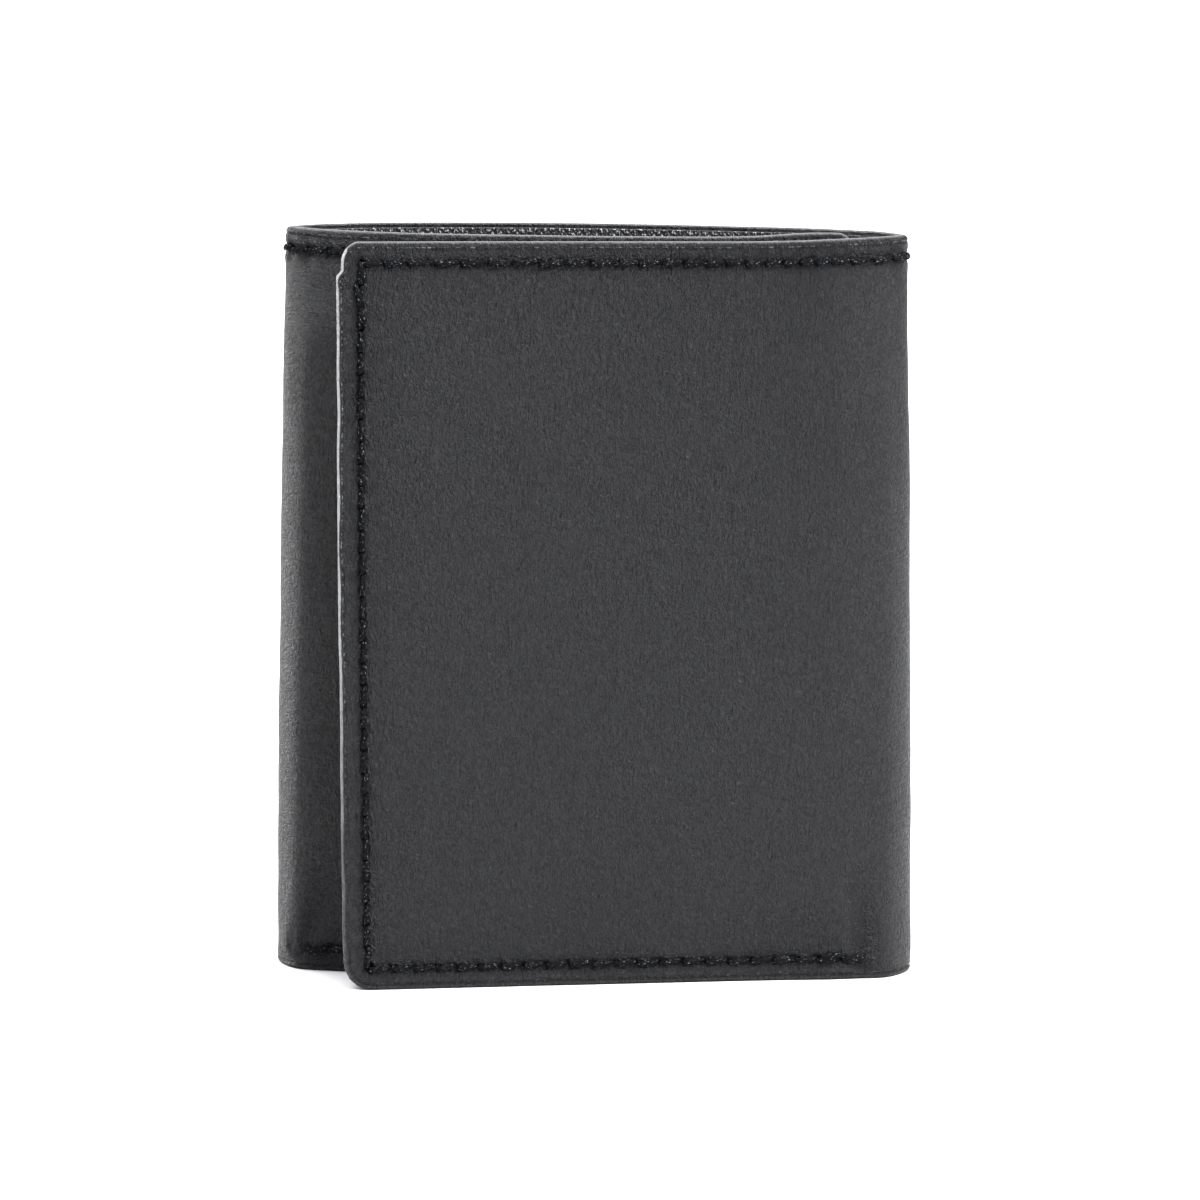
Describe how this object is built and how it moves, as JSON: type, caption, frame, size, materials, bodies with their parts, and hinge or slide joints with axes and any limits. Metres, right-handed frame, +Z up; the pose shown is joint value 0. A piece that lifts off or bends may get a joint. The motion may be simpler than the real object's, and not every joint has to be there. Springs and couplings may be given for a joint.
{
  "type": "trifold wallet",
  "caption": "Trifold leather wallet, closed and standing on its edge: inner flap tucked behind the front flap, note compartment, window pocket and sideways card slots.",
  "frame": {"origin": "centre of the closed wallet's footprint, on the surface that it stands on", "axes": "+Z up along the height, +Y from the front flap to the back panel, +X from the left fold to the right fold"},
  "size_m": [0.088, 0.02, 0.105],
  "materials": {
    "outer_leather": "fine-grained charcoal black leather with a satin face and pale cut edges",
    "inner_leather": "thin smooth black leather, satin",
    "woven_lining": "black woven lining cloth with a slight sparkle",
    "clear_film": "clear flexible window film",
    "thread": "black twisted sewing thread"
  },
  "bodies": {
    "back_panel": {"back_shell": "outer_leather", "back_lining": "woven_lining", "centre_wall": "inner_leather", "window_film": "clear_film", "window_frame": "inner_leather", "back_seam_top": "thread", "back_seam_bottom": "thread"},
    "left_spine": {"left_spine_shell": "outer_leather", "left_spine_lining": "woven_lining", "left_spine_seam": "thread"},
    "inner_flap": {"inner_flap_shell": "outer_leather", "inner_flap_lining": "woven_lining", "inner_flap_wall": "inner_leather", "inner_flap_slot_1": "inner_leather", "inner_flap_slot_2": "inner_leather", "inner_flap_slot_3": "inner_leather", "inner_flap_seam": "thread"},
    "right_spine": {"right_spine_shell": "outer_leather", "right_spine_lining": "woven_lining", "right_spine_seam": "thread"},
    "front_flap": {"front_flap_shell": "outer_leather", "front_flap_lining": "woven_lining", "front_flap_wall": "inner_leather", "front_flap_slot_1": "inner_leather", "front_flap_slot_2": "inner_leather", "front_flap_slot_3": "inner_leather", "front_flap_seam": "thread"}
  },
  "joints": [
    {"name": "front_fold", "type": "hinge", "parent": "back_panel", "child": "right_spine", "pos_m": [0.0436, 0.0096, 0], "axis": [0, 0, 1], "range_deg": [0, 90]},
    {"name": "front_flap_fold", "type": "hinge", "parent": "right_spine", "child": "front_flap", "pos_m": [0.0436, -0.0096, 0], "axis": [0, 0, 1], "range_deg": [0, 90]},
    {"name": "inner_fold", "type": "hinge", "parent": "back_panel", "child": "left_spine", "pos_m": [-0.0436, 0.0096, 0], "axis": [0, 0, -1], "range_deg": [0, 90]},
    {"name": "inner_flap_fold", "type": "hinge", "parent": "left_spine", "child": "inner_flap", "pos_m": [-0.0436, -0.0044, 0], "axis": [0, 0, -1], "range_deg": [0, 90]}
  ],
  "couplings": [
    {"joint": "front_flap_fold", "follows": "front_fold", "ratio": 1},
    {"joint": "inner_fold", "follows": "front_fold", "ratio": 0.2},
    {"joint": "inner_flap_fold", "follows": "front_fold", "ratio": 0.2}
  ]
}
